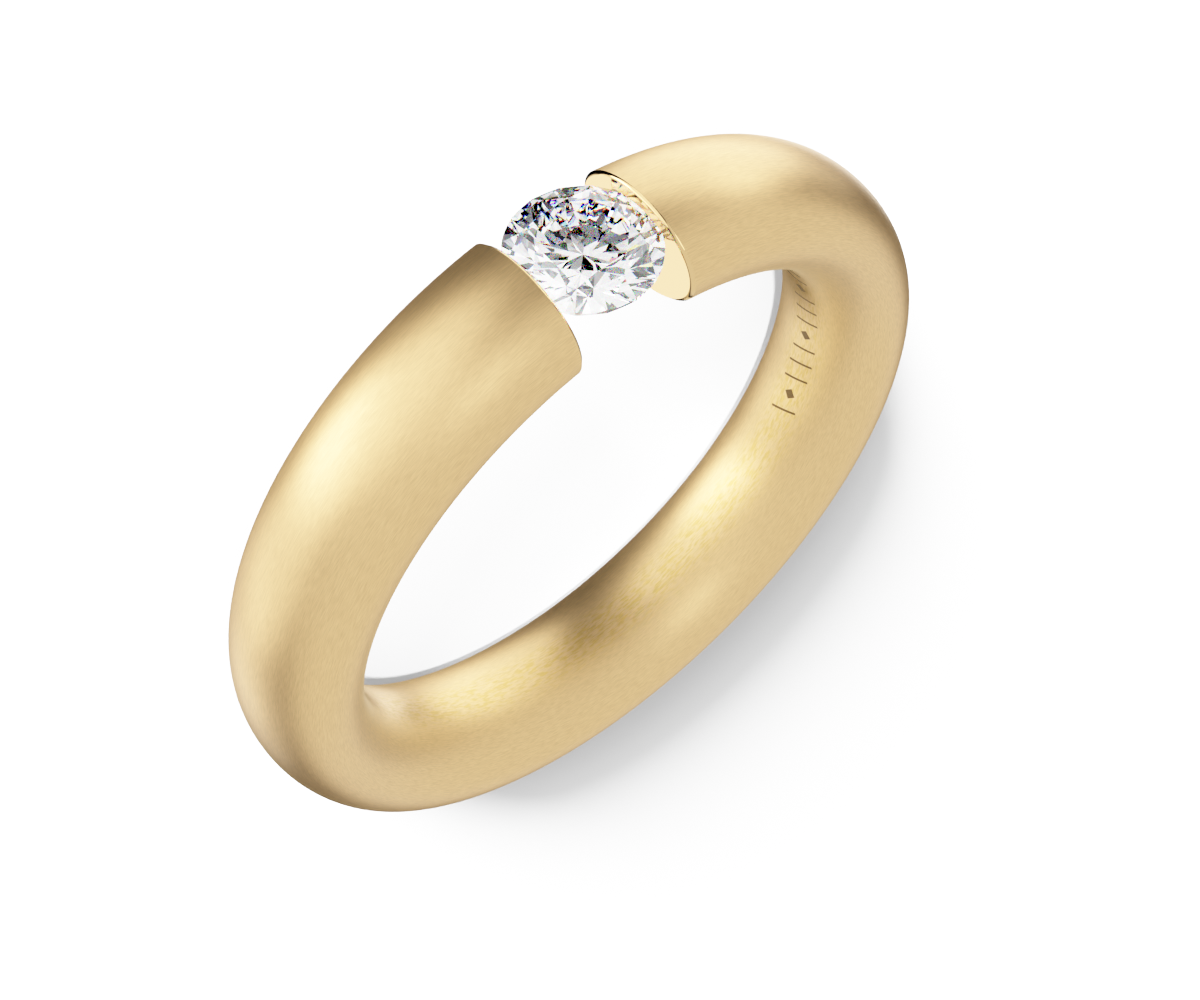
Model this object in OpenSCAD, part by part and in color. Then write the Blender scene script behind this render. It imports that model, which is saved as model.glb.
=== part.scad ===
// Tension set ring: an open band of gold whose two end faces grip a round brilliant by its girdle.
// The ring lies on its side. Z runs along the finger, and Z = 0 is the surface that the ring lies on.
// The stone sits at +Y with its table facing outwards, and the gap that it bridges runs along X.
// All sizes are in millimetres and all angles in degrees.

/* [Band] */
// Inner diameter, which sets the finger size
finger_d = 17.2; // [15:0.1:22]
// Width of the band along the finger
band_w = 4.4; // [3.4:0.1:7]
// Thickness of the band, from the finger to the outside
band_t = 3.15; // [2.7:0.05:4.5]

/* [End faces] */
// Lean of each end face, which lets the gap open outwards
face_lean = 2; // [0:0.5:4]
// Width of the polished bevel round each end face
face_bevel = 0.1; // [0.04:0.01:0.2]

/* [Setting] */
// How far the girdle reaches into the groove in each end face
seat_depth = 0.26; // [0.15:0.01:0.35]
// Room between the stone and its groove
seat_clearance = 0.02; // [0.01:0.005:0.04]
// How far the table lies below the outside of the band
table_drop = 0.24; // [0.1:0.01:0.5]

/* [Stone] */
// Diameter of the stone at its girdle
stone_d = 4.1; // [3.6:0.05:4.6]
// Width of the table from corner to corner, as a percentage of the stone's diameter
table_pct = 60; // [54:1:64]
// Thickness of the girdle at its thick points, as a percentage of the stone's diameter
girdle_pct = 3; // [2.4:0.1:4.5]
// Slope of the kite facets of the crown
crown_angle = 33.5; // [31:0.5:36]
// Slope of the main facets of the pavilion
pavilion_angle = 40.8; // [40:0.1:42]
// Reach of the star facets, as a percentage of the way from the table to the girdle
star_pct = 50; // [45:1:60]
// Reach of the lower half facets, as a percentage of the way from the girdle to the culet
lower_half_pct = 78; // [70:1:85]

/* [Hidden] */

// Smooth turns, and the cutters' spare length past what they cut
$fn = 120;
overcut = 1;

// Band: radii about the finger's axis, and the height of its middle plane
inner_r = finger_d / 2;
mid_r = inner_r + band_t / 2;
outer_r = inner_r + band_t;
mid_z = band_w / 2;

// Stone: radii about its own axis, and heights above the girdle's lower edge.
// A brilliant repeats eight times. Kites and mains are centred half a fold away from the stars and lower halves.
folds = 8;
fold = 360 / folds;
half_fold = fold / 2;
quarter_fold = fold / 4;
girdle_steps = 6;
stone_r = stone_d / 2;
table_r = stone_r * table_pct / 100;
girdle_t = stone_d * girdle_pct / 100;
crown_h = (stone_r - table_r) * tan(crown_angle);
pavilion_h = stone_r * tan(pavilion_angle);
table_edge_r = table_r * cos(half_fold);
star_r = table_edge_r + (stone_r - table_edge_r) * star_pct / 100;
star_h = (stone_r - star_r * cos(half_fold)) * tan(crown_angle);
low_r = stone_r * (1 - lower_half_pct / 100);
low_h = (stone_r - low_r * cos(half_fold)) * tan(pavilion_angle);

// Slopes of the ridges between the half facets, which are the stone's steepest lines
crown_rise = star_h / (stone_r - star_r);
pavilion_rise = low_h / (stone_r - low_r);

// The girdle's lower edge stands this far from the finger's axis
girdle_y = outer_r - table_drop - crown_h - girdle_t;

// End faces: each lies in a plane this far from the finger's axis, once turned by the lean
girdle_gap = stone_d - 2 * seat_depth;
function face_x(y) = girdle_gap / 2 + (y - girdle_y) * tan(face_lean);
face_off = face_x(0) * cos(face_lean);
function along_face(r) = sqrt(r * r - face_off * face_off);
face_mid = (along_face(outer_r) + along_face(inner_r)) / 2;
face_t = along_face(outer_r) - along_face(inner_r);

function on_ring(r, angle, z) = [r * cos(angle), r * sin(angle), z];

// Drop of a half facet at the round girdle, where its flat plane cuts below the ridges on its two sides
function scallop(angle, rise) =
    let (from_middle = angle % half_fold - quarter_fold)
    stone_r * rise * (cos(from_middle) / cos(quarter_fold) - 1);

// Opening between the two end faces, wider towards the outside
module gap() {
    low_y = inner_r / 2;
    high_y = outer_r + overcut;
    translate([0, 0, -overcut])
        linear_extrude(band_w + 2 * overcut)
            polygon([
                [face_x(low_y), low_y], [face_x(high_y), high_y],
                [-face_x(high_y), high_y], [-face_x(low_y), low_y]
            ]);
}

// Metal that the bevel takes off the rim of the right end face: a thin slab less an oval cone.
// Both start inside the gap and end behind the bevel, so that no two cutting faces coincide.
module bevel_cut() {
    flare = 8 * face_bevel / (band_w + face_t);
    rotate(-face_lean)
        translate([face_off, 0, 0])
            difference() {
                translate([-2 * face_bevel, inner_r / 2 + overcut, -2 * overcut])
                    cube([4 * face_bevel, outer_r, band_w + 4 * overcut]);
                translate([face_bevel, face_mid, mid_z])
                    rotate([0, 90, 0])
                        scale([band_w, face_t, 1])
                            cylinder(h = 4 * face_bevel, d1 = 1 - flare, d2 = 1 + flare, center = true);
            }
}

// Round groove that clears the girdle and the ridges above and below it
module seat_cut() {
    seat_r = stone_r + seat_clearance;
    above = girdle_t + seat_clearance;
    translate([0, girdle_y, mid_z])
        rotate([-90, 0, 0])
            rotate_extrude()
                polygon([
                    [0, -seat_clearance - seat_r * pavilion_rise], [seat_r, -seat_clearance],
                    [seat_r, above], [0, above + seat_r * crown_rise]
                ]);
}

// Satin gold band of oval section, cut open at the stone
module band() {
    color("#d8bd84")
        difference() {
            translate([0, 0, mid_z])
                rotate_extrude()
                    translate([mid_r, 0])
                        scale([band_t, band_w])
                            circle(d = 1);
            gap();
            for (side = [0, 1])
                mirror([side, 0, 0])
                    bevel_cut();
            seat_cut();
        }
}

// Round brilliant: table, 8 stars, 8 kites, 16 upper halves, scalloped girdle, 16 lower halves and 8 mains
module stone() {
    around = 2 * folds * girdle_steps;
    step = 360 / around;
    points = concat(
        [[0, 0, -pavilion_h]],
        [for (k = [0:folds - 1]) on_ring(low_r, k * fold, -low_h)],
        [for (i = [0:around - 1]) on_ring(stone_r, i * step, scallop(i * step, pavilion_rise))],
        [for (i = [0:around - 1]) on_ring(stone_r, i * step, girdle_t - scallop(i * step, crown_rise))],
        [for (k = [0:folds - 1]) on_ring(star_r, k * fold, girdle_t + star_h)],
        [for (k = [0:folds - 1]) on_ring(table_r, k * fold + half_fold, girdle_t + crown_h)]
    );

    // Place of each kind of point in the list, for a count that may run past the last one
    function low(k) = 1 + k % folds;
    function under(i) = 1 + folds + i % around;
    function over(i) = 1 + folds + around + i % around;
    function star(k) = 1 + folds + 2 * around + k % folds;
    function corner(k) = 1 + 2 * folds + 2 * around + k % folds;

    // The girdle's points from one ridge to the next, up and down the list
    up = [0:girdle_steps];
    down = [girdle_steps:-1:0];
    per_fold = 2 * girdle_steps;
    table = [[for (k = [folds - 1:-1:0]) corner(k)]];
    stars = [for (k = [0:folds - 1]) [star(k + 1), corner(k), corner(k + 1)]];
    kites = [for (k = [0:folds - 1]) [corner(k), star(k + 1), over(k * per_fold + girdle_steps), star(k)]];
    upper_halves = [for (k = [0:folds - 1]) each [
        [star(k), for (i = down) over(k * per_fold + i)],
        [star(k + 1), for (i = down) over(k * per_fold + girdle_steps + i)]
    ]];
    girdle = [for (i = [0:around - 1]) [over(i), over(i + 1), under(i + 1), under(i)]];
    lower_halves = [for (k = [0:folds - 1]) each [
        [low(k), for (i = up) under(k * per_fold + i)],
        [low(k + 1), for (i = up) under(k * per_fold + girdle_steps + i)]
    ]];
    mains = [for (k = [0:folds - 1]) [0, low(k), under(k * per_fold + girdle_steps), low(k + 1)]];

    color("#eef3f8")
        translate([0, girdle_y, mid_z])
            rotate([-90, 0, 0])
                polyhedron(points, concat(table, stars, kites, upper_halves, girdle, lower_halves, mains));
}

band();
stone();
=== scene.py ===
"""Dresses the tension set ring: a satin gold band, its polished ends and a brilliant held between them."""

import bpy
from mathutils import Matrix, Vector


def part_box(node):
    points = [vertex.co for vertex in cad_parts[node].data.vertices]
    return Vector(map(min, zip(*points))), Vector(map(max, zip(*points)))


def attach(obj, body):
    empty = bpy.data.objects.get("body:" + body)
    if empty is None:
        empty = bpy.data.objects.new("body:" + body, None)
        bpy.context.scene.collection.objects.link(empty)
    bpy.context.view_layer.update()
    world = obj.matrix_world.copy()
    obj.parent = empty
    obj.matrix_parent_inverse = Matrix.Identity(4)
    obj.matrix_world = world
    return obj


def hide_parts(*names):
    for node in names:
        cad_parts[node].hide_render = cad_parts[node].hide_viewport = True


bl_info = {
    "name": "Tension Set Ring",
    "version": (1, 0, 0),
    "blender": (4, 5, 0),
    "location": "3D View > Sidebar > Ring",
    "description": "Builds the satin band, the brilliant and their studio",
    "category": "Add Mesh",
}

import math

import bpy
import numpy as np
from bpy.props import FloatProperty, FloatVectorProperty, IntProperty, PointerProperty
from mathutils import Vector

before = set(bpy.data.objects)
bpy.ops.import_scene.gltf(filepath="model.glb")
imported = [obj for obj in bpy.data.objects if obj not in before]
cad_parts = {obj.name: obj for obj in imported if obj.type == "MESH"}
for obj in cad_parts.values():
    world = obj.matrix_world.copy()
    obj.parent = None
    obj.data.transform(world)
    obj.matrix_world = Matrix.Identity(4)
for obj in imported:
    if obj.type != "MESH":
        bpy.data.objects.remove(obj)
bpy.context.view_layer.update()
BAND_LOW, BAND_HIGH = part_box("band")
STONE_LOW, STONE_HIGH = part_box("stone")
MM = 0.001
MID_Z = (BAND_LOW.z + BAND_HIGH.z) / 2

# Places closer than this are the same
SAME = 0.001 * MM


def linear(colour):
    """Turns an sRGB hex colour such as "D8BD84" into linear red, green, blue and alpha."""
    parts = [int(colour[i : i + 2], 16) / 255 for i in (0, 2, 4)]
    return [c / 12.92 if c <= 0.04045 else ((c + 0.055) / 1.055) ** 2.4 for c in parts] + [1.0]


WHITE = linear("FFFFFF")


def bare_material(name):
    """Makes a material with an empty node tree."""
    material = bpy.data.materials.new(name)
    material.use_nodes = True
    material.node_tree.nodes.clear()
    return material


def add(tree, kind, feeds=None, **settings):
    """Adds a node with its own settings, and feeds each input a value, a socket or a list of sockets."""
    node = tree.nodes.new(kind)
    for name, value in settings.items():
        setattr(node, name, value)
    for key, feed in (feeds or {}).items():
        sockets = feed if isinstance(feed, list) else [feed]
        if isinstance(sockets[0], bpy.types.NodeSocket):
            for socket in sockets:
                tree.links.new(socket, node.inputs[key])
        else:
            node.inputs[key].default_value = feed
    return node


class BandSettings(bpy.types.PropertyGroup):
    """Sizes and finish of the gold band"""

    finger: FloatProperty(name="Finger", description="Inner diameter", default=17.2 * MM, unit="LENGTH")
    outside: FloatProperty(
        name="Outside", description="Outer diameter", default=BAND_HIGH.x - BAND_LOW.x, unit="LENGTH"
    )
    width: FloatProperty(
        name="Width", description="Width along the finger", default=BAND_HIGH.z - BAND_LOW.z, unit="LENGTH"
    )
    lean: FloatProperty(
        name="Lean", description="Lean of each end face", default=math.radians(2), subtype="ANGLE"
    )
    bevel: FloatProperty(
        name="Bevel", description="Width of the bevel round each end face", default=0.1 * MM, unit="LENGTH"
    )
    grip: FloatProperty(
        name="Grip", description="Depth of the stone's groove in each face", default=0.26 * MM, unit="LENGTH"
    )
    room: FloatProperty(
        name="Room", description="Room between the stone and its groove", default=0.02 * MM, unit="LENGTH"
    )
    around: IntProperty(name="Around", description="Flats round the finger", default=360)
    across: IntProperty(name="Across", description="Flats round the oval section", default=128)
    groove: IntProperty(name="Groove", description="Flats round the stone's groove", default=192)
    gold: FloatVectorProperty(
        name="Gold", description="18 karat yellow gold", size=4, default=linear("F7CB8C"), subtype="COLOR"
    )
    mirrored: FloatVectorProperty(
        name="Mirrored gold",
        description="Gold as gold mirrors it",
        size=4,
        default=linear("DCD4BC"),
        subtype="COLOR",
    )
    # Yellow of the inner wall's grain and of a painted reflection: the deeper yellow of the wall mirroring
    # the gold opposite
    grain_and_reflection: FloatVectorProperty(
        name="Grain and painted reflection",
        description="Gold of the inner wall's grain",
        size=4,
        default=linear("E9BC6C"),
        subtype="COLOR",
    )


class MarkSettings(bpy.types.PropertyGroup):
    """The plain row of marks inside the band"""

    count: IntProperty(name="Marks", description="Number of marks", default=13)
    start: FloatProperty(
        name="Start", description="Angle from the band's foot", default=math.radians(68), subtype="ANGLE"
    )
    end: FloatProperty(
        name="End", description="Angle from the band's foot", default=math.radians(122), subtype="ANGLE"
    )
    height: FloatProperty(name="Height", description="Height of a stroke", default=0.95 * MM, unit="LENGTH")
    line: FloatProperty(name="Line", description="Width of a stroke", default=0.07 * MM, unit="LENGTH")
    slant: FloatProperty(
        name="Slant", description="Lean of each stroke", default=math.radians(20), subtype="ANGLE"
    )
    depth: FloatProperty(name="Depth", description="Depth of a stroke", default=0.01 * MM, unit="LENGTH")


class StoneSettings(bpy.types.PropertyGroup):
    """Optics of the brilliant"""

    red: FloatProperty(name="Red index", description="Refractive index for red", default=2.40)
    green: FloatProperty(name="Green index", description="Refractive index for green", default=2.42)
    blue: FloatProperty(name="Blue index", description="Refractive index for blue", default=2.45)
    fire: FloatProperty(name="Fire", description="Share of the light that is split", default=0.6)


class StageSettings(bpy.types.PropertyGroup):
    """Floor, lights and camera"""

    floor: FloatVectorProperty(
        name="Floor", description="Pale paper", size=4, default=linear("BABABA"), subtype="COLOR"
    )
    reach: FloatProperty(name="Floor size", description="Side of the floor", default=2.0, unit="LENGTH")


def form_inputs(tree, sizes):
    """Names the tree's inputs after the sizes, gives each its value and returns their sockets."""
    tree.interface.new_socket("Geometry", in_out="OUTPUT", socket_type="NodeSocketGeometry")
    for name, value in sizes.items():
        kind = "NodeSocketInt" if isinstance(value, int) else "NodeSocketFloat"
        tree.interface.new_socket(name, in_out="INPUT", socket_type=kind)
    return tree.nodes.new("NodeGroupInput").outputs


def grown(name, tree, sizes):
    """Runs a node tree with these sizes and returns the result as a plain mesh object at the origin."""
    host = bpy.data.objects.new(name + "_host", bpy.data.meshes.new(name + "_host"))
    bpy.context.scene.collection.objects.link(host)
    modifier = host.modifiers.new(name, "NODES")
    modifier.node_group = tree
    for item in tree.interface.items_tree:
        if item.in_out == "INPUT":
            modifier[item.identifier] = sizes[item.name]
    graph = bpy.context.evaluated_depsgraph_get()
    mesh = bpy.data.meshes.new_from_object(host.evaluated_get(graph))
    bpy.data.objects.remove(host)
    piece = bpy.data.objects.new(name, mesh)
    bpy.context.scene.collection.objects.link(piece)
    return piece


def girdle_of(stone):
    """Measures the stone: radius, girdle edges along Y, and the slopes of the ridges past those edges."""
    points = np.array([v.co for v in stone.data.vertices])
    radius = np.hypot(points[:, 0], points[:, 2] - MID_Z)
    high = points[:, 1]
    inside = radius.max() - radius
    rim = inside < SAME
    low_edge, top_edge = high[rim].min(), high[rim].max()
    up = (high > top_edge + SAME) & (inside > SAME)
    down = (high < low_edge - SAME) & (inside > SAME)
    return {
        "radius": float(radius.max()),
        "low": float(low_edge),
        "top": float(top_edge),
        "crown": float(((high[up] - top_edge) / inside[up]).max()),
        "pavilion": float(((low_edge - high[down]) / inside[down]).max()),
    }


def band_sizes(s):
    """All the sizes that the band's tree needs, in metres and radians."""
    girdle = girdle_of(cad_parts["stone"])
    inner = s.finger / 2
    outer = s.outside / 2
    half_gap = girdle["radius"] - s.grip - girdle["low"] * math.tan(s.lean)
    face = half_gap * math.cos(s.lean)
    face_outer = math.sqrt(outer**2 - face**2)
    face_inner = math.sqrt(inner**2 - face**2)
    flare = 8 * s.bevel / (s.width + face_outer - face_inner)
    groove = girdle["radius"] + s.room
    return {
        "Around": s.around,
        "Across": s.across,
        "Middle radius": (inner + outer) / 2,
        "Thickness": outer - inner,
        "Width": s.width,
        "Outer radius": outer,
        "Half gap at axis": half_gap,
        "Lean": s.lean,
        "Bevel": s.bevel,
        "Face offset": face,
        "Face middle": (face_outer + face_inner) / 2,
        "Face thickness": face_outer - face_inner,
        "Cone start": (1 - flare) / 2,
        "Cone end": (1 + flare) / 2,
        "Groove flats": s.groove,
        "Groove radius": groove,
        "Groove height": girdle["top"] - girdle["low"] + 2 * s.room,
        "Groove middle": (girdle["top"] + girdle["low"]) / 2,
        "Groove rise": groove * girdle["crown"],
        "Groove fall": groove * girdle["pavilion"],
        "Middle height": MID_Z,
    }


def band_tree(sizes, satin, polish):
    """An oval section swept round the finger, less the gap, the two bevels and the stone's groove."""
    tree = bpy.data.node_groups.new("Open band", "GeometryNodeTree")
    size = form_inputs(tree, sizes)

    # Closed ring of oval section
    circle = {0: size["Around"], "Radius": size["Middle radius"]}
    path = add(tree, "GeometryNodeCurvePrimitiveCircle", circle)
    path = add(tree, "GeometryNodeSetCurveNormal", {"Curve": path.outputs[0]}, mode="Z_UP")
    oval_size = add(tree, "ShaderNodeCombineXYZ", {"X": size["Thickness"], "Y": size["Width"], "Z": 1.0})
    oval = add(tree, "GeometryNodeCurvePrimitiveCircle", {0: size["Across"], "Radius": 0.5})
    oval = add(tree, "GeometryNodeTransform", {"Geometry": oval.outputs[0], "Scale": oval_size.outputs[0]})
    ring = add(tree, "GeometryNodeCurveToMesh", {0: path.outputs[0], 1: oval.outputs[0]})

    # Gap between the end faces: a block whose sides lean apart outwards
    double_outer = add(tree, "ShaderNodeMath", {0: size["Outer radius"], 1: 2.0}, operation="MULTIPLY")
    block_size = add(tree, "ShaderNodeCombineXYZ", {"X": 2.0, "Y": 1.0, "Z": double_outer.outputs[0]})
    block = add(tree, "GeometryNodeMeshCube", {"Size": block_size.outputs[0]})
    corner = add(tree, "ShaderNodeSeparateXYZ", {0: add(tree, "GeometryNodeInputPosition").outputs[0]})
    lean = add(tree, "ShaderNodeMath", {0: size["Lean"]}, operation="TANGENT")
    along = add(
        tree,
        "ShaderNodeMath",
        {0: corner.outputs["Y"], 1: size["Outer radius"], 2: size["Outer radius"]},
        operation="MULTIPLY_ADD",
    )
    half = add(
        tree,
        "ShaderNodeMath",
        {0: along.outputs[0], 1: lean.outputs[0], 2: size["Half gap at axis"]},
        operation="MULTIPLY_ADD",
    )
    side = add(tree, "ShaderNodeMath", {0: corner.outputs["X"], 1: half.outputs[0]}, operation="MULTIPLY")
    place = add(
        tree,
        "ShaderNodeCombineXYZ",
        {"X": side.outputs[0], "Y": along.outputs[0], "Z": corner.outputs["Z"]},
    )
    gap = add(tree, "GeometryNodeSetPosition", {0: block.outputs[0], "Position": place.outputs[0]})

    # Metal outside each bevel: a slab less an oval cone, turned to the face's lean
    depth = add(tree, "ShaderNodeMath", {0: size["Bevel"], 1: 4.0}, operation="MULTIPLY")
    slab_size = add(
        tree,
        "ShaderNodeCombineXYZ",
        {"X": depth.outputs[0], "Y": size["Outer radius"], "Z": double_outer.outputs[0]},
    )
    slab_place = add(
        tree, "ShaderNodeCombineXYZ", {"X": size["Face offset"], "Y": size["Face middle"], "Z": 0.0}
    )
    slab = add(tree, "GeometryNodeMeshCube", {"Size": slab_size.outputs[0]})
    slab = add(
        tree, "GeometryNodeTransform", {"Geometry": slab.outputs[0], "Translation": slab_place.outputs[0]}
    )
    cone = add(
        tree,
        "GeometryNodeMeshCone",
        {
            "Vertices": size["Across"],
            "Radius Top": size["Cone end"],
            "Radius Bottom": size["Cone start"],
            "Depth": depth.outputs[0],
        },
    )
    oval_cone = {"X": size["Width"], "Y": size["Face thickness"], "Z": 1.0}
    cone_size = add(tree, "ShaderNodeCombineXYZ", oval_cone)
    cone_x = add(tree, "ShaderNodeMath", {0: size["Face offset"], 1: size["Bevel"]}, operation="SUBTRACT")
    cone_place = add(tree, "ShaderNodeCombineXYZ", {"X": cone_x.outputs[0], "Y": size["Face middle"]})
    cone = add(
        tree,
        "GeometryNodeTransform",
        {
            "Geometry": cone.outputs[0],
            "Scale": cone_size.outputs[0],
            "Rotation": (0, math.pi / 2, 0),
            "Translation": cone_place.outputs[0],
        },
    )
    bevel = add(
        tree,
        "GeometryNodeMeshBoolean",
        {0: slab.outputs[0], 1: cone.outputs[0]},
        operation="DIFFERENCE",
        solver="EXACT",
    )
    turn = add(tree, "ShaderNodeMath", {0: size["Lean"], 1: -1.0}, operation="MULTIPLY")
    turned = add(tree, "ShaderNodeCombineXYZ", {"Z": turn.outputs[0]})
    right = add(tree, "GeometryNodeTransform", {"Geometry": bevel.outputs[0], "Rotation": turned.outputs[0]})
    left = add(tree, "GeometryNodeTransform", {"Geometry": right.outputs[0], "Rotation": (0, math.pi, 0)})

    # Round groove for the girdle: a short drum with a cone on each end
    drum = add(
        tree,
        "GeometryNodeMeshCylinder",
        {"Vertices": size["Groove flats"], "Radius": size["Groove radius"], "Depth": size["Groove height"]},
        fill_type="TRIANGLE_FAN",
    )
    spot = add(tree, "GeometryNodeInputPosition")
    flat = add(tree, "ShaderNodeVectorMath", {0: spot.outputs[0], 1: (1, 1, 0)}, operation="MULTIPLY")
    reach = add(tree, "ShaderNodeVectorMath", {0: flat.outputs[0]}, operation="LENGTH")
    centre = add(
        tree, "FunctionNodeCompare", {0: reach.outputs["Value"], 1: 10 * SAME}, operation="LESS_THAN"
    )
    height = add(tree, "ShaderNodeSeparateXYZ", {0: spot.outputs[0]})
    above = add(tree, "FunctionNodeCompare", {0: height.outputs["Z"], 1: 0.0}, operation="GREATER_THAN")
    fall = add(tree, "ShaderNodeMath", {0: size["Groove fall"], 1: -1.0}, operation="MULTIPLY")
    tip = add(
        tree,
        "GeometryNodeSwitch",
        {0: above.outputs[0], 1: fall.outputs[0], 2: size["Groove rise"]},
        input_type="FLOAT",
    )
    lift = add(tree, "ShaderNodeCombineXYZ", {"Z": tip.outputs[0]})
    drum = add(
        tree,
        "GeometryNodeSetPosition",
        {0: drum.outputs[0], "Selection": centre.outputs[0], "Offset": lift.outputs[0]},
    )
    groove_place = add(tree, "ShaderNodeCombineXYZ", {"Y": size["Groove middle"]})
    groove = add(
        tree,
        "GeometryNodeTransform",
        {
            "Geometry": drum.outputs[0],
            "Rotation": (-math.pi / 2, 0, 0),
            "Translation": groove_place.outputs[0],
        },
    )

    # One cut with all of them, then the finish: faces that the cut made are polished
    tools = add(
        tree,
        "GeometryNodeMeshBoolean",
        {1: [gap.outputs[0], right.outputs[0], left.outputs[0], groove.outputs[0]]},
        operation="UNION",
        solver="EXACT",
    )
    marked = add(
        tree,
        "GeometryNodeStoreNamedAttribute",
        {"Geometry": tools.outputs[0], "Name": "polished", "Value": True},
        data_type="BOOLEAN",
        domain="FACE",
    )
    cut = add(
        tree,
        "GeometryNodeMeshBoolean",
        {0: ring.outputs[0], 1: marked.outputs[0]},
        operation="DIFFERENCE",
        solver="EXACT",
    )
    rise = add(tree, "ShaderNodeCombineXYZ", {"Z": size["Middle height"]})
    placed = add(tree, "GeometryNodeTransform", {"Geometry": cut.outputs[0], "Translation": rise.outputs[0]})
    real = add(tree, "GeometryNodeRealizeInstances", {0: placed.outputs[0]})
    polished = add(tree, "GeometryNodeInputNamedAttribute", {"Name": "polished"}, data_type="BOOLEAN")
    brushed = add(tree, "GeometryNodeSetMaterial", {"Geometry": real.outputs[0], "Material": satin})
    done = add(
        tree,
        "GeometryNodeSetMaterial",
        {"Geometry": brushed.outputs[0], "Selection": polished.outputs[0], "Material": polish},
    )
    add(tree, "NodeGroupOutput", {0: done.outputs[0]})
    return tree


# Edges turned by more than this stay crisp
SHARP = math.radians(15)

# The skin of the band starts this far from the middle of its oval section, as a share of the oval's own size
SKIN = 0.999


def shade_band(mesh, sizes):
    """Smooths the band: the brushed surface gets the oval's true normals, and the cut edges stay crisp."""
    mesh.shade_smooth()
    mesh.set_sharp_from_angle(angle=SHARP)
    count = len(mesh.loops)
    normals = np.zeros(count * 3)
    mesh.corner_normals.foreach_get("vector", normals)
    normals = normals.reshape(-1, 3)
    places = np.zeros(len(mesh.vertices) * 3)
    mesh.vertices.foreach_get("co", places)
    corners = np.zeros(count, int)
    mesh.loops.foreach_get("vertex_index", corners)
    x, y, z = places.reshape(-1, 3)[corners].T
    radius = np.hypot(x, y)
    outward = (radius - sizes["Middle radius"]) / sizes["Thickness"] ** 2
    true = np.stack([outward * x / radius, outward * y / radius, (z - MID_Z) / sizes["Width"] ** 2], -1)
    true /= np.linalg.norm(true, axis=1)[:, None]
    loops = [p.loop_total for p in mesh.polygons]
    brushed = np.repeat([p.material_index == 0 for p in mesh.polygons], loops)
    normals[brushed] = true[brushed]

    # Buffing rounds the corners of each bevel, so its shading leans towards the skin and the end face
    half_width = (z - MID_Z) / (sizes["Width"] / 2)
    half_depth = (radius - sizes["Middle radius"]) / (sizes["Thickness"] / 2)
    skin = np.hypot(half_width, half_depth) > SKIN
    starts = np.array([p.loop_start for p in mesh.polygons])
    touches = np.logical_or.reduceat(skin, starts)
    rim = np.repeat(touches, loops) & ~brushed
    towards_gap = -np.sign(x) * math.cos(sizes["Lean"])
    outwards = np.full(count, math.sin(sizes["Lean"]))
    face = np.stack([towards_gap, outwards, np.zeros(count)], -1)
    normals[rim & skin] += true[rim & skin]
    normals[rim & ~skin] += face[rim & ~skin]
    normals /= np.linalg.norm(normals, axis=1)[:, None]
    mesh.normals_split_custom_set(normals)


# Length and width of the marks that the abrasive wheel leaves. The fine scratches spread the light, the
# broader ones are those that the eye makes out, and the grain is on the middle of the inner wall, where it
# breaks up a painted reflection: the deeper yellow that the wall would get from mirroring the gold opposite.
FINE_SCRATCH = (0.8 * MM, 0.016 * MM)
SEEN_SCRATCH = (0.3 * MM, 0.02 * MM)
INNER_GRAIN = (0.35 * MM, 0.06 * MM)

# The grain and the painted reflection under it are full up to the first height off the band's middle and
# gone at the second, and they lie within this depth of the inner wall
GRAIN_AND_REFLECTION_HEIGHTS = (0.3 * MM, 0.9 * MM)
GRAIN_AND_REFLECTION_DEPTH = 0.4 * MM

# The inner wall turns into the outer one over this far on each side of the band's middle radius
TURNOVER = 0.3 * MM

# Nearly all of a noise lies between these
NOISE = {"From Min": 0.3, "From Max": 0.7}


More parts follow.
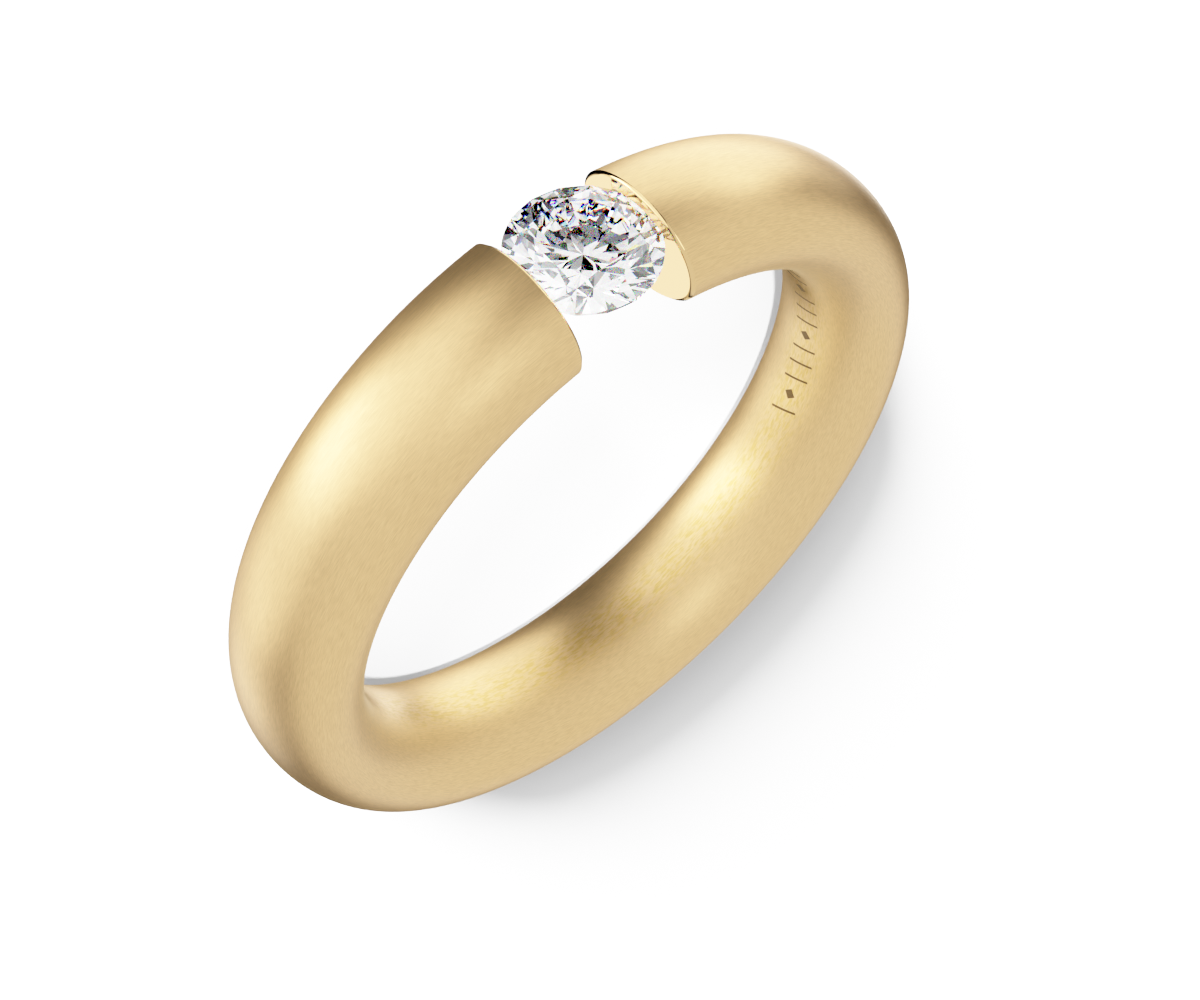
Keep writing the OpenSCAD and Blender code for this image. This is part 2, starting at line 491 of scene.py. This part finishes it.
def satin_gold(s):
    """18 karat yellow gold, satin finished with an abrasive wheel run round the band.

    The wheel leaves fine scratches along the band, so light spreads across them into broad soft highlights.
    """
    material = bare_material("Satin 18 karat gold")
    tree = material.node_tree

    # Place on the band: angle round the finger, radius and height
    place = add(tree, "ShaderNodeTexCoord").outputs["Object"]
    part = add(tree, "ShaderNodeSeparateXYZ", {0: place})
    foot = add(tree, "ShaderNodeMath", {0: part.outputs["Y"], 1: -1.0}, operation="MULTIPLY")
    turn = add(tree, "ShaderNodeMath", {0: part.outputs["X"], 1: foot.outputs[0]}, operation="ARCTAN2")
    flat = add(tree, "ShaderNodeVectorMath", {0: place, 1: (1, 1, 0)}, operation="MULTIPLY")
    radius = add(tree, "ShaderNodeVectorMath", {0: flat.outputs[0]}, operation="LENGTH")

    # The marks run along lanes of one radius and one height
    mid = (s.finger + s.outside) / 4
    lane = add(
        tree,
        "ShaderNodeCombineXYZ",
        {"X": turn.outputs[0], "Y": radius.outputs["Value"], "Z": part.outputs["Z"]},
    )

    def stretched(length, width):
        """Gives the lanes a unit this long round the band and this wide across it."""
        units = (mid / length, 1 / width, 1 / width)
        return add(tree, "ShaderNodeVectorMath", {0: lane.outputs[0], 1: units}, operation="MULTIPLY")

    fine = stretched(*FINE_SCRATCH)
    scratch = add(tree, "ShaderNodeTexNoise", {"Vector": fine.outputs[0], "Scale": 1.0, "Detail": 1.0})
    seen = stretched(*SEEN_SCRATCH)
    streak = add(tree, "ShaderNodeTexNoise", {"Vector": seen.outputs[0], "Scale": 1.0, "Detail": 1.0})
    tone = add(
        tree, "ShaderNodeMapRange", {"Value": streak.outputs["Fac"], **NOISE, "To Min": 0.88, "To Max": 1.1}
    )

    # The middle of the inner wall gets a brighter yellow grain. Partly it is a random grain, partly painted
    # reflection: the deeper yellow that the inner wall would get from mirroring the gold opposite
    off = add(tree, "ShaderNodeMath", {0: part.outputs["Z"], 1: MID_Z}, operation="SUBTRACT")
    off = add(tree, "ShaderNodeMath", {0: off.outputs[0]}, operation="ABSOLUTE")
    full, gone = GRAIN_AND_REFLECTION_HEIGHTS
    line = add(
        tree,
        "ShaderNodeMapRange",
        {"Value": off.outputs[0], "From Min": full, "From Max": gone, "To Min": 1.0, "To Max": 0.0},
    )
    inner = add(
        tree,
        "ShaderNodeMath",
        {0: radius.outputs["Value"], 1: s.finger / 2 + GRAIN_AND_REFLECTION_DEPTH},
        operation="LESS_THAN",
    )
    grain_and_reflection = add(tree, "ShaderNodeMath", {0: line.outputs[0], 1: inner.outputs[0]}, operation="MULTIPLY")
    speckle = stretched(*INNER_GRAIN)
    grain = add(tree, "ShaderNodeTexNoise", {"Vector": speckle.outputs[0], "Scale": 1.0, "Detail": 2.0})
    grain = add(
        tree,
        "ShaderNodeMapRange",
        {"Value": grain.outputs["Fac"], "From Min": 0.45, "From Max": 0.62, "To Min": 0.0, "To Max": 1.0},
    )
    grain_and_reflection = add(tree, "ShaderNodeMath", {0: grain_and_reflection.outputs[0], 1: grain.outputs[0]}, operation="MULTIPLY")
    base = add(tree, "ShaderNodeMix", {0: grain_and_reflection.outputs[0], 6: s.gold[:], 7: s.grain_and_reflection[:]}, data_type="RGBA")

    # Gold that mirrors gold is no deeper in colour than the rest
    ray = add(tree, "ShaderNodeLightPath").outputs
    second = ray["Is Glossy Ray"]
    base = add(tree, "ShaderNodeMix", {0: second, 6: base.outputs[2], 7: s.mirrored[:]}, data_type="RGBA")

    # On the paper, the inner wall throws white light and the outer wall a dark shadow
    thrown = add(
        tree,
        "ShaderNodeMapRange",
        {
            "Value": radius.outputs["Value"],
            "From Min": mid - TURNOVER,
            "From Max": mid + TURNOVER,
            "To Min": 1.0,
            "To Max": 0.0,
        },
    )
    base = add(
        tree,
        "ShaderNodeMix",
        {0: ray["Is Diffuse Ray"], 6: base.outputs[2], 7: thrown.outputs[0]},
        data_type="RGBA",
    )
    gold = add(
        tree,
        "ShaderNodeVectorMath",
        {0: base.outputs[2], "Scale": tone.outputs[0]},
        operation="SCALE",
    )
    scratch = scratch.outputs["Fac"]
    rough = add(tree, "ShaderNodeMapRange", {"Value": scratch, **NOISE, "To Min": 0.37, "To Max": 0.43})
    bump = add(tree, "ShaderNodeBump", {"Height": scratch, "Distance": 0.001 * MM, "Strength": 0.3})
    across = add(tree, "ShaderNodeVectorMath", {0: place, 1: (0, 0, 1)}, operation="CROSS_PRODUCT")
    along = add(tree, "ShaderNodeVectorMath", {0: across.outputs[0]}, operation="NORMALIZE")
    metal = add(
        tree,
        "ShaderNodeBsdfPrincipled",
        {
            "Base Color": gold.outputs[0],
            "Metallic": 1.0,
            "Roughness": rough.outputs[0],
            "Anisotropic": 0.6,
            "Anisotropic Rotation": 0.25,
            "Tangent": along.outputs[0],
            "Normal": bump.outputs[0],
        },
    )
    add(tree, "ShaderNodeOutputMaterial", {"Surface": metal.outputs[0]})
    return material


def polished_gold(s):
    """The same gold, lapped flat and buffed bright where it was cut: it mirrors the stone and the lights."""
    material = bare_material("Polished 18 karat gold")
    tree = material.node_tree
    place = add(tree, "ShaderNodeTexCoord").outputs["Object"]
    haze = add(tree, "ShaderNodeTexNoise", {"Vector": place, "Scale": 1 / (0.4 * MM), "Detail": 2.0})
    rough = add(
        tree, "ShaderNodeMapRange", {"Value": haze.outputs["Fac"], **NOISE, "To Min": 0.05, "To Max": 0.09}
    )
    metal = add(
        tree,
        "ShaderNodeBsdfPrincipled",
        {"Base Color": s.gold[:], "Metallic": 1.0, "Roughness": rough.outputs[0]},
    )
    add(tree, "ShaderNodeOutputMaterial", {"Surface": metal.outputs[0]})
    return material


class RING_OT_band(bpy.types.Operator):
    """Makes the open gold band"""

    bl_idname = "ring.band"
    bl_label = "Band"

    def execute(self, context):
        s = context.scene.ring_band
        sizes = band_sizes(s)
        band = grown("gold_band", band_tree(sizes, satin_gold(s), polished_gold(s)), sizes)
        if len(band.data.polygons) < s.around * s.across / 2:
            raise RuntimeError("the band's tree gave no whole ring")
        shade_band(band.data, sizes)
        band.visible_transmission = False
        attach(band, "root")
        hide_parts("band")
        return {"FINISHED"}


# Side of a lozenge, as a share of a stroke's height
LOZENGE = 0.3


def mark_tree(sizes, dark):
    """A row of slanted strokes and lozenges, laid out flat and then wrapped onto the inside of the band."""
    tree = bpy.data.node_groups.new("Row of marks", "GeometryNodeTree")
    size = form_inputs(tree, sizes)

    # Two kinds of thin bar: a slanted stroke, and a lozenge with its corner upwards
    bar = add(tree, "ShaderNodeCombineXYZ", {"X": size["Line"], "Y": size["Height"], "Z": size["Depth"]})
    stroke = add(
        tree,
        "GeometryNodeMeshCube",
        {"Size": bar.outputs[0], "Vertices X": 2, "Vertices Y": 12, "Vertices Z": 2},
    )
    lean = add(tree, "ShaderNodeCombineXYZ", {"Z": size["Slant"]})
    stroke = add(
        tree, "GeometryNodeTransform", {"Geometry": stroke.outputs[0], "Rotation": lean.outputs[0]}
    )
    short = add(tree, "ShaderNodeMath", {0: size["Height"], 1: LOZENGE}, operation="MULTIPLY")
    block = add(
        tree, "ShaderNodeCombineXYZ", {"X": short.outputs[0], "Y": short.outputs[0], "Z": size["Depth"]}
    )
    lozenge = add(
        tree,
        "GeometryNodeMeshCube",
        {"Size": block.outputs[0], "Vertices X": 5, "Vertices Y": 5, "Vertices Z": 2},
    )
    lozenge = add(
        tree, "GeometryNodeTransform", {"Geometry": lozenge.outputs[0], "Rotation": (0, 0, math.pi / 4)}
    )
    kinds = add(tree, "GeometryNodeGeometryToInstance", {0: [lozenge.outputs[0], stroke.outputs[0]]})

    # Every fourth mark of the row is a lozenge
    step = add(tree, "ShaderNodeCombineXYZ", {"X": size["Step"]})
    row = add(
        tree, "GeometryNodeMeshLine", {"Count": size["Count"], "Offset": step.outputs[0]}, mode="OFFSET"
    )
    index = add(tree, "GeometryNodeInputIndex")
    fourth = add(tree, "ShaderNodeMath", {0: index.outputs[0], 1: 4.0}, operation="MODULO")
    last = add(tree, "FunctionNodeCompare", {0: fourth.outputs[0], 1: 2.5}, operation="GREATER_THAN")
    marks = add(
        tree,
        "GeometryNodeInstanceOnPoints",
        {
            "Points": row.outputs[0],
            "Instance": kinds.outputs[0],
            "Pick Instance": True,
            "Instance Index": last.outputs[0],
        },
    )
    real = add(tree, "GeometryNodeRealizeInstances", {0: marks.outputs[0]})

    # Wrap: the row's length turns into an angle, and its height follows the oval of the inner wall
    spot = add(tree, "ShaderNodeSeparateXYZ", {0: add(tree, "GeometryNodeInputPosition").outputs[0]})
    arc = add(tree, "ShaderNodeMath", {0: spot.outputs["X"], 1: size["Inner radius"]}, operation="DIVIDE")
    angle = add(tree, "ShaderNodeMath", {0: size["Start"], 1: arc.outputs[0]}, operation="SUBTRACT")
    half = add(tree, "ShaderNodeMath", {0: size["Width"], 1: 0.5}, operation="MULTIPLY")
    share = add(tree, "ShaderNodeMath", {0: spot.outputs["Y"], 1: half.outputs[0]}, operation="DIVIDE")
    slope = add(tree, "ShaderNodeMath", {0: share.outputs[0]}, operation="ARCSINE")
    bulge = add(tree, "ShaderNodeMath", {0: slope.outputs[0]}, operation="COSINE")
    thick = add(tree, "ShaderNodeMath", {0: size["Thickness"], 1: -0.5}, operation="MULTIPLY")
    wall = add(
        tree,
        "ShaderNodeMath",
        {0: bulge.outputs[0], 1: thick.outputs[0], 2: size["Middle radius"]},
        operation="MULTIPLY_ADD",
    )
    raised = add(tree, "ShaderNodeMath", {0: wall.outputs[0], 1: spot.outputs["Z"]}, operation="SUBTRACT")
    level = add(tree, "ShaderNodeMath", {0: spot.outputs["Y"], 1: size["Middle height"]}, operation="ADD")
    sine = add(tree, "ShaderNodeMath", {0: angle.outputs[0]}, operation="SINE")
    cosine = add(tree, "ShaderNodeMath", {0: angle.outputs[0]}, operation="COSINE")
    x = add(tree, "ShaderNodeMath", {0: raised.outputs[0], 1: sine.outputs[0]}, operation="MULTIPLY")
    y = add(tree, "ShaderNodeMath", {0: raised.outputs[0], 1: cosine.outputs[0]}, operation="MULTIPLY")
    back = add(tree, "ShaderNodeMath", {0: y.outputs[0], 1: -1.0}, operation="MULTIPLY")
    place = add(
        tree, "ShaderNodeCombineXYZ", {"X": x.outputs[0], "Y": back.outputs[0], "Z": level.outputs[0]}
    )
    wrapped = add(tree, "GeometryNodeSetPosition", {0: real.outputs[0], "Position": place.outputs[0]})
    done = add(tree, "GeometryNodeSetMaterial", {"Geometry": wrapped.outputs[0], "Material": dark})
    add(tree, "NodeGroupOutput", {0: done.outputs[0]})
    return tree


def darkened_gold():
    """Gold that a laser has burnt to a matt brown, as in the plain marks inside a ring."""
    material = bare_material("Laser marked gold")
    tree = material.node_tree
    place = add(tree, "ShaderNodeTexCoord").outputs["Object"]
    grain = add(tree, "ShaderNodeTexNoise", {"Vector": place, "Scale": 1 / (0.03 * MM), "Detail": 2.0})
    browns = {0: grain.outputs["Fac"], 6: linear("4A3512"), 7: linear("7A5C28")}
    brown = add(tree, "ShaderNodeMix", browns, data_type="RGBA")
    burnt = add(
        tree,
        "ShaderNodeBsdfPrincipled",
        {"Base Color": brown.outputs[2], "Metallic": 0.6, "Roughness": 0.55},
    )
    add(tree, "ShaderNodeOutputMaterial", {"Surface": burnt.outputs[0]})
    return material


class RING_OT_marks(bpy.types.Operator):
    """Makes the plain row of marks inside the band"""

    bl_idname = "ring.marks"
    bl_label = "Marks"

    def execute(self, context):
        s = context.scene.ring_marks
        band = band_sizes(context.scene.ring_band)
        inner = band["Middle radius"] - band["Thickness"] / 2
        sizes = {
            "Count": s.count,
            "Step": (s.end - s.start) * inner / (s.count - 1),
            "Start": s.end,
            "Height": s.height,
            "Line": s.line,
            "Slant": s.slant,
            "Depth": s.depth,
            "Inner radius": inner,
            "Middle radius": band["Middle radius"],
            "Thickness": band["Thickness"],
            "Width": band["Width"],
            "Middle height": MID_Z,
        }
        marks = grown("inner_marks", mark_tree(sizes, darkened_gold()), sizes)
        marks.visible_transmission = False
        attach(marks, "root")
        return {"FINISHED"}


class RING_OT_stone(bpy.types.Operator):
    """Gives the brilliant its diamond"""

    bl_idname = "ring.stone"
    bl_label = "Stone"

    def execute(self, context):
        s = context.scene.ring_stone
        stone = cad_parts["stone"]
        stone.data.materials.clear()
        stone.data.materials.append(diamond(s))
        return {"FINISHED"}


def diamond(s):
    """Colourless diamond, cut and polished: its index rises towards blue, so it splits light into fire.

    The split is where light enters. Inside, light goes on as one white ray, which keeps the picture clean.
    """
    material = bare_material("Polished diamond")
    tree = material.node_tree
    split = s.fire
    whole = 1 - split
    shares = (
        ((whole, whole, whole, 1), s.green),
        ((split, 0, 0, 1), s.red),
        ((0, split, 0, 1), s.green),
        ((0, 0, split, 1), s.blue),
    )
    entry = None
    for colour, index in shares:
        share = add(tree, "ShaderNodeBsdfGlass", {"Color": colour, "Roughness": 0.0, "IOR": index})
        if entry:
            share = add(tree, "ShaderNodeAddShader", {0: entry.outputs[0], 1: share.outputs[0]})
        entry = share
    inside = add(tree, "ShaderNodeBsdfGlass", {"Color": WHITE, "Roughness": 0.0, "IOR": s.green})
    back = add(tree, "ShaderNodeNewGeometry").outputs["Backfacing"]
    stone = add(tree, "ShaderNodeMixShader", {0: back, 1: entry.outputs[0], 2: inside.outputs[0]})
    add(tree, "ShaderNodeOutputMaterial", {"Surface": stone.outputs[0]})
    return material


# The photograph's camera, from its fit to the ring's outline
CAMERA_PLACE = (-23.6954 * MM, 56.9956 * MM, 31.3163 * MM)
CAMERA_TURN = (-56.8907, -39.7816, 0.0022)
CAMERA_LENS = 70.932

# Soft lights, far enough off to count as suns: name, azimuth and height in degrees, width across in
# degrees, and brightness. The low ones shine past the floor, which metal doesn't mirror.
LIGHTS = (
    ("low_left", 156, -51, 26, 1.6),
    ("wide_left", 134, -27, 68, 0.72),
    ("low_right", 20, -34, 57, 0.77),
    ("right_strip", 19, -8, 17, 0.9),
    ("low_front", -44, -27, 16, 1.3),
    ("low_far_left", -174, -32, 59, 0.59),
    ("behind_camera", 112, 37, 25, 0.51),
    ("low_back", -127, -32, 53, 0.28),
    ("end_face", -122, -28, 22, 0.45),
    ("low_near", 88, -30, 26, 0.24),
    ("low_far_right", -11, -40, 32, 0.42),
    ("far_strip", -14, -18, 22, 0.3),
)

# Lights for the floor alone, from behind the camera: name, azimuth, height and width in degrees, and how
# bright they make white paper. They lay the ring's soft shadow on the far side, darkest beside the ring.
FLOOR_LIGHTS = (("floor_far", 112, 8, 14, 1.6), ("floor_near", 112, 16.5, 8, 0.36))

# Lamp above the hole, which keeps the floor inside the ring white: its place, the radius of its pool of
# light, its size and its power in watts
HOLE_LAMP = ((-17 * MM, 43 * MM, 50 * MM), 12.5 * MM, 4 * MM, 0.34)

# Dome of sky that metal and paper see: how far up it starts and is full, as the sine of the height above the
# horizon, and how bright it is at these two
DOME = (0.05, 0.23, 0.0, 0.36)

# What the stone gathers instead, by the same measures
TENT = (0.26, 0.46, 0.0, 0.98)

# The stone sees the photographer as a dark hood: how near the line of sight it starts and is full, as a
# cosine, and the share of light that is left at these two
HOOD = (0.82, 0.95, 1.0, 0.1)

# A brilliant throws light back only after many turns inside it
TURNS = 12

# Film-like response: how fast the highlights roll off, and how many steps its curve has
ROLL_OFF = 3.5
CURVE_STEPS = 12


def sun(name, azimuth, height, width, brightness):
    """A round soft light that looks this bright and this wide, in degrees, from the ring."""
    disc = bpy.data.lights.new(name, "SUN")
    disc.angle = math.radians(width)
    disc.energy = brightness * math.pi * math.sin(disc.angle / 2) ** 2
    lamp = bpy.data.objects.new(name, disc)
    turn = math.radians(azimuth)
    up = math.radians(height)
    aim = Vector((math.cos(up) * math.cos(turn), math.cos(up) * math.sin(turn), math.sin(up)))
    lamp.rotation_euler = aim.to_track_quat("Z", "Y").to_euler()
    bpy.context.scene.collection.objects.link(lamp)
    return lamp


def paper_floor(s):
    """A sheet of matt white paper. The ring mirrors none of it, as if it stood free."""
    floor = bpy.data.objects.new("floor", bpy.data.meshes.new("floor"))
    half = s.reach / 2
    corners = [(-half, -half, 0), (half, -half, 0), (half, half, 0), (-half, half, 0)]
    floor.data.from_pydata(corners, [], [(0, 1, 2, 3)])
    bpy.context.scene.collection.objects.link(floor)
    paper = bare_material("Matt white paper")
    sheet = add(
        paper.node_tree,
        "ShaderNodeBsdfPrincipled",
        {"Base Color": s.floor[:], "Roughness": 0.9, "Specular IOR Level": 0.0},
    )
    add(paper.node_tree, "ShaderNodeOutputMaterial", {"Surface": sheet.outputs[0]})
    floor.data.materials.append(paper)
    floor.visible_glossy = False
    floor.visible_shadow = False
    floor.visible_transmission = False
    return floor


def photo_camera():
    """The camera at the photograph's place and turn."""
    lens = bpy.data.cameras.new("camera")
    lens.lens = CAMERA_LENS
    lens.clip_start = 1 * MM
    camera = bpy.data.objects.new("camera", lens)
    camera.location = CAMERA_PLACE
    camera.rotation_euler = [math.radians(a) for a in CAMERA_TURN]
    bpy.context.scene.collection.objects.link(camera)
    bpy.context.scene.camera = camera
    return camera


def studio_world(camera):
    """White behind the ring, a soft dome for metal and paper, and one of its own for the stone."""
    world = bpy.data.worlds.new("studio")
    world.use_nodes = True
    tree = world.node_tree
    tree.nodes.clear()
    aim = add(tree, "ShaderNodeTexCoord").outputs["Generated"]
    level = add(tree, "ShaderNodeSeparateXYZ", {0: aim}).outputs["Z"]
    sight = (camera.location - (STONE_LOW + STONE_HIGH) / 2).normalized()
    near = add(tree, "ShaderNodeVectorMath", {0: aim, 1: sight}, operation="DOT_PRODUCT").outputs["Value"]
    ramps = []
    for value, (start, full, low, high) in ((level, DOME), (level, TENT), (near, HOOD)):
        ramp = add(
            tree,
            "ShaderNodeMapRange",
            {"Value": value, "From Min": start, "From Max": full, "To Min": low, "To Max": high},
            interpolation_type="SMOOTHSTEP",
        )
        ramps.append(ramp.outputs[0])
    dome, tent, hood = ramps
    gathered = add(tree, "ShaderNodeMath", {0: tent, 1: hood}, operation="MULTIPLY")
    ray = add(tree, "ShaderNodeLightPath").outputs
    glow = add(tree, "ShaderNodeMix", {0: ray["Is Transmission Ray"], 2: dome, 3: gathered.outputs[0]})
    sky = add(tree, "ShaderNodeBackground", {"Color": WHITE, "Strength": glow.outputs[0]})
    backdrop = add(tree, "ShaderNodeBackground", {"Color": WHITE, "Strength": 1.0})
    both = add(
        tree, "ShaderNodeMixShader", {0: ray["Is Camera Ray"], 1: sky.outputs[0], 2: backdrop.outputs[0]}
    )
    add(tree, "ShaderNodeOutputWorld", {"Surface": both.outputs[0]})
    bpy.context.scene.world = world


def light_floor(floor):
    """Lights that reach the floor alone: they draw the ring's shadow on it and whiten it inside the ring."""
    floor_alone = bpy.data.collections.new("floor alone")
    floor_alone.objects.link(floor)
    for name, azimuth, height, width, share in FLOOR_LIGHTS:
        spread = math.sin(math.radians(width / 2)) ** 2 * math.sin(math.radians(height))
        low = sun(name, azimuth, height, width, share / spread)
        low.light_linking.receiver_collection = floor_alone
    place, pool, size, power = HOLE_LAMP
    spot = bpy.data.lights.new("floor_inside", "SPOT")
    spot.energy = power
    spot.shadow_soft_size = size
    spot.spot_size = 2 * math.atan(pool / Vector(place).length)
    spot.spot_blend = 0.5
    inside = bpy.data.objects.new("floor_inside", spot)
    inside.location = place
    inside.rotation_euler = Vector(place).to_track_quat("Z", "Y").to_euler()
    bpy.context.scene.collection.objects.link(inside)
    inside.light_linking.receiver_collection = floor_alone


def film_response(look):
    """Rolls the highlights off softly, as film does."""
    look.view_transform = "Standard"
    look.use_curve_mapping = True
    response = look.curve_mapping.curves[3].points
    for i in range(1, CURVE_STEPS):
        x = (i / CURVE_STEPS) ** 2
        response.new(x, (1 - math.exp(-ROLL_OFF * x)) / (1 - math.exp(-ROLL_OFF)))
    look.curve_mapping.update()


class RING_OT_stage(bpy.types.Operator):
    """Sets the floor, the lights and the camera"""

    bl_idname = "ring.stage"
    bl_label = "Stage"

    def execute(self, context):
        scene = context.scene
        floor = paper_floor(scene.ring_stage)
        studio_world(photo_camera())
        for light in LIGHTS:
            sun(*light)
        light_floor(floor)
        scene.cycles.glossy_bounces = TURNS
        scene.cycles.max_bounces = TURNS + 4
        film_response(scene.view_settings)
        return {"FINISHED"}


class RING_PT_panel(bpy.types.Panel):
    """Lists the ring's pieces and their sizes"""

    bl_idname = "RING_PT_panel"
    bl_label = "Tension Set Ring"
    bl_space_type = "VIEW_3D"
    bl_region_type = "UI"
    bl_category = "Ring"

    def draw(self, context):
        layout = self.layout
        for step in ("band", "marks", "stone", "stage"):
            layout.operator("ring." + step)
            group = getattr(context.scene, "ring_" + step)
            for name in type(group).__annotations__:
                layout.prop(group, name)


CLASSES = (
    BandSettings,
    MarkSettings,
    StoneSettings,
    StageSettings,
    RING_OT_band,
    RING_OT_marks,
    RING_OT_stone,
    RING_OT_stage,
    RING_PT_panel,
)


def register():
    """Registers the classes and gives the scene its four groups of settings."""
    for one in CLASSES:
        bpy.utils.register_class(one)
    bpy.types.Scene.ring_band = PointerProperty(type=BandSettings)
    bpy.types.Scene.ring_marks = PointerProperty(type=MarkSettings)
    bpy.types.Scene.ring_stone = PointerProperty(type=StoneSettings)
    bpy.types.Scene.ring_stage = PointerProperty(type=StageSettings)


def unregister():
    """Takes the settings and the classes away again."""
    del bpy.types.Scene.ring_stage
    del bpy.types.Scene.ring_stone
    del bpy.types.Scene.ring_marks
    del bpy.types.Scene.ring_band
    for one in reversed(CLASSES):
        bpy.utils.unregister_class(one)


def main():
    """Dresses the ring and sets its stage."""
    register()
    bpy.ops.ring.band()
    bpy.ops.ring.marks()
    bpy.ops.ring.stone()
    bpy.ops.ring.stage()


if __name__ == "__main__":
    main()
